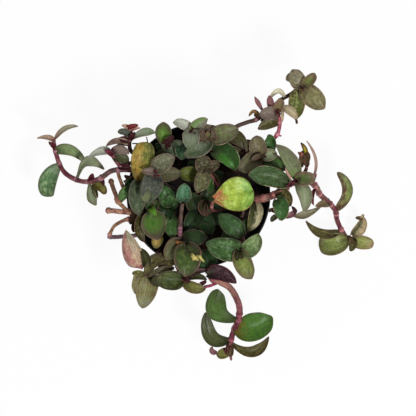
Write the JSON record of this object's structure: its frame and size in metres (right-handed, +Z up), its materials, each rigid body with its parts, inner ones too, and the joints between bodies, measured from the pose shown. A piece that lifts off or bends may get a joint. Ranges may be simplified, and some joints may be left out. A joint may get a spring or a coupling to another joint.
{
  "type": "potted tradescantia",
  "caption": "Small trailing chain-plant tradescantia in a round black nursery pot, with boat-shaped leaves on jointed stems and runners hanging over the rim.",
  "frame": {"origin": "centre of the pot base on the surface it stands on", "axes": "+Z up along the pot axis, +X along the longest spread, from the west runner to the east runner, +Y towards the north-east runner side"},
  "size_m": [0.212, 0.185, 0.1008],
  "materials": {
    "pot_plastic": "satin",
    "potting_mix": "matte",
    "stem_maroon": "satin",
    "stem_pink": "satin",
    "stem_tan": "satin",
    "leaf_green": "satin",
    "leaf_sage": "satin",
    "leaf_olive": "satin",
    "leaf_teal": "satin",
    "leaf_lime": "satin",
    "leaf_ochre": "satin",
    "leaf_rose": "satin",
    "leaf_plum": "satin"
  },
  "bodies": {
    "root": {"leaf_east_dark": "leaf_olive", "leaf_east_floor": "leaf_green", "leaf_east_narrow": "leaf_olive", "leaf_east_upright": "leaf_green", "leaf_lime": "leaf_lime", "leaf_pale_edged": "leaf_sage", "leaf_pink_back": "leaf_rose", "leaf_plum": "leaf_plum", "leaf_south_boomerang": "leaf_olive", "leaf_south_broad": "leaf_green", "leaf_south_crescent": "leaf_green", "leaf_south_dark": "leaf_olive", "leaf_teal": "leaf_teal", "leaf_west_arched": "leaf_sage", "leaf_west_folded": "leaf_sage", "leaf_west_hanging": "leaf_sage", "leaf_west_pale": "leaf_sage", "pot": "pot_plastic", "shoot_blue_green": "leaf_teal", "shoot_centre_dark": "leaf_green", "shoot_centre_low": "leaf_green", "shoot_centre_rosette": "leaf_olive", "shoot_east_bud": "stem_maroon", "shoot_east_rosette": "leaf_green", "shoot_east_tip": "leaf_green", "shoot_green_cup": "leaf_green", "shoot_north_nested": "leaf_olive", "shoot_north_rosette": "leaf_sage", "shoot_northeast_green": "leaf_green", "shoot_northeast_middle": "leaf_sage", "shoot_northeast_rosette": "leaf_sage", "shoot_northeast_tip": "leaf_sage", "shoot_northwest_rosette": "leaf_sage", "shoot_northwest_sprig": "leaf_sage", "shoot_ochre": "leaf_ochre", "shoot_rim_cup": "leaf_green", "shoot_south": "leaf_green", "shoot_south_tip": "leaf_olive", "shoot_southeast": "leaf_green", "shoot_southwest_low": "leaf_green", "shoot_southwest_tip": "leaf_sage", "shoot_west_sprig": "leaf_sage", "shoot_west_tip": "leaf_sage", "soil": "potting_mix", "stem_east_branch": "stem_pink", "stem_east_runner": "stem_maroon", "stem_lime_leaf": "stem_pink", "stem_mauve": "stem_pink", "stem_northeast_runner": "stem_maroon", "stem_old_hook": "stem_tan", "stem_old_rim": "stem_tan", "stem_old_salmon": "stem_tan", "stem_old_short": "stem_tan", "stem_pink_northeast": "stem_pink", "stem_south_runner": "stem_maroon", "stem_southeast": "stem_maroon", "stem_southwest": "stem_pink", "stem_teal_leaf": "stem_pink", "stem_west_runner": "stem_maroon"}
  },
  "joints": []
}
